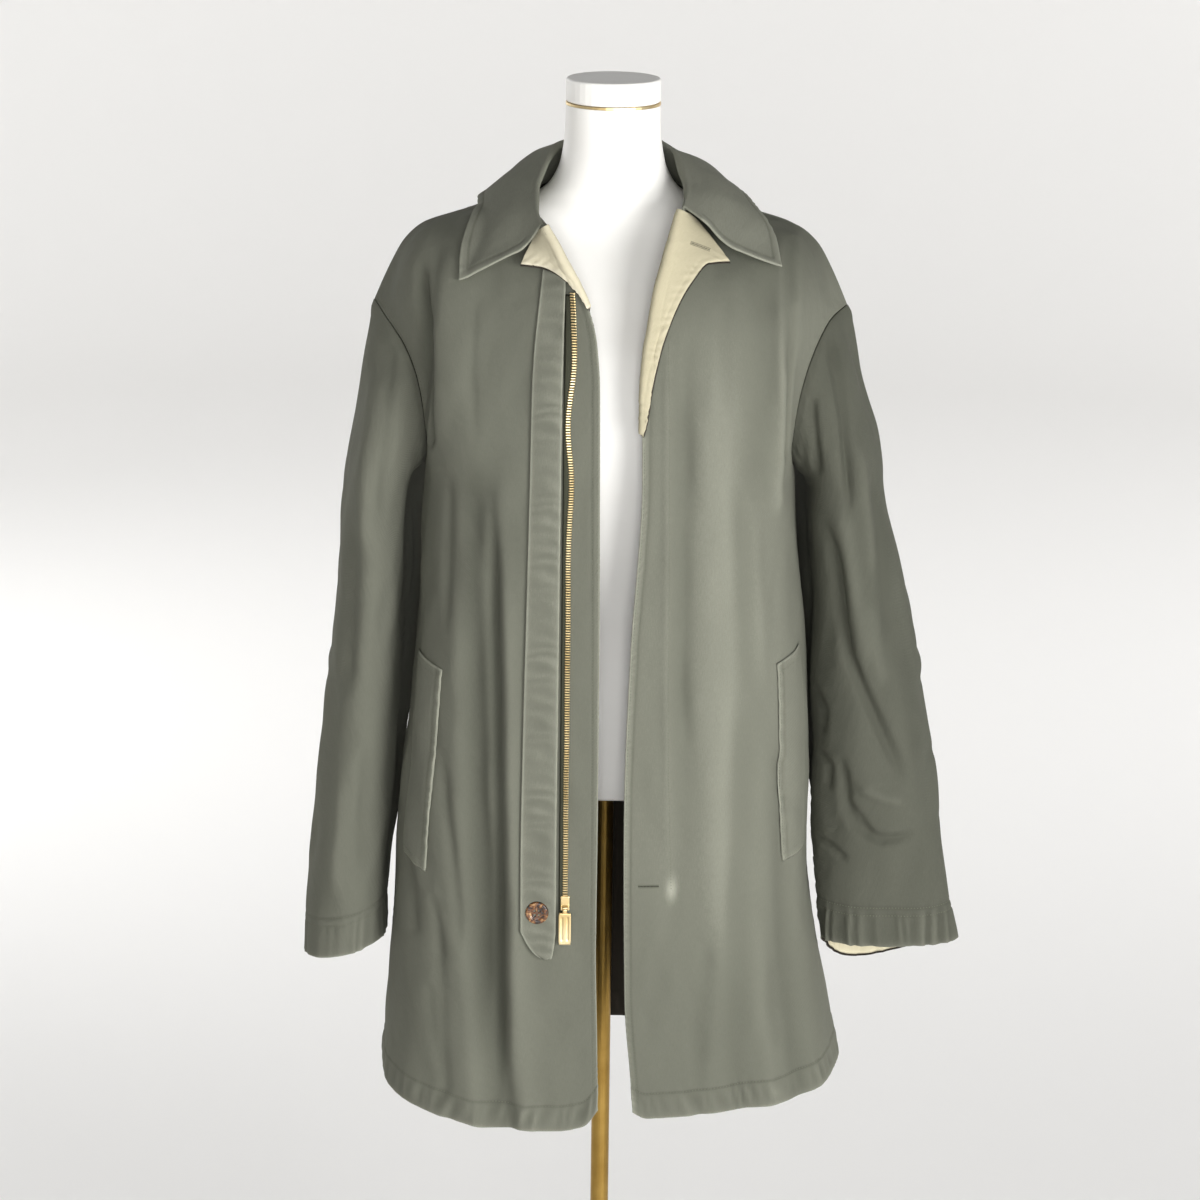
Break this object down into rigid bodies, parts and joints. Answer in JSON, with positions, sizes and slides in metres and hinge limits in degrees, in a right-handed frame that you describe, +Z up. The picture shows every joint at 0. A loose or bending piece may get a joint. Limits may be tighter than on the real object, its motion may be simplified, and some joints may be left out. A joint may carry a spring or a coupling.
{
  "type": "zip-front chore coat on a dress form",
  "caption": "Thigh-length zip-front cotton coat with shirt collar, turned-out lapels and welt pockets, worn open on a limbless dress form that stands on a pole and a round base.",
  "frame": {"origin": "middle of the underside of the round base", "axes": "+Z up, the coat's front faces -Y, +X is to the right as seen from the front"},
  "size_m": [0.6731, 0.34, 1.5005],
  "materials": {
    "olive_twill": "washed cotton twill, matt, with faded edges and seams",
    "tan_twill": "tan cotton twill, matt",
    "zip_tape": "woven tape, matt",
    "brass": "brushed and slightly aged",
    "tortoiseshell": "polished, brown mottled with amber",
    "white_form": "smooth satin white"
  },
  "bodies": {
    "coat_and_form": {"front_left": "olive_twill", "front_right": "olive_twill", "back": "olive_twill", "sleeve_left": "olive_twill", "sleeve_right": "olive_twill", "collar": "olive_twill", "welt_left": "olive_twill", "welt_right": "olive_twill", "fly_strip": "olive_twill", "facing_left": "tan_twill", "facing_right": "tan_twill", "cuff_facing_left": "tan_twill", "cuff_facing_right": "tan_twill", "zip_tape": "zip_tape", "zip_teeth": "brass", "zip_slider": "brass", "button": "tortoiseshell", "form_torso": "white_form", "form_neck_ring": "brass", "form_neck_cap": "white_form", "pole": "brass", "base": "brass"},
    "pull_tab": {"zip_pull": "brass"}
  },
  "joints": [
    {"name": "pull_swing", "type": "hinge", "parent": "coat_and_form", "child": "pull_tab", "pos_m": [-0.0383, -0.1653, 0.691], "axis": [-1, 0, 0], "range_deg": [0, 150]}
  ]
}
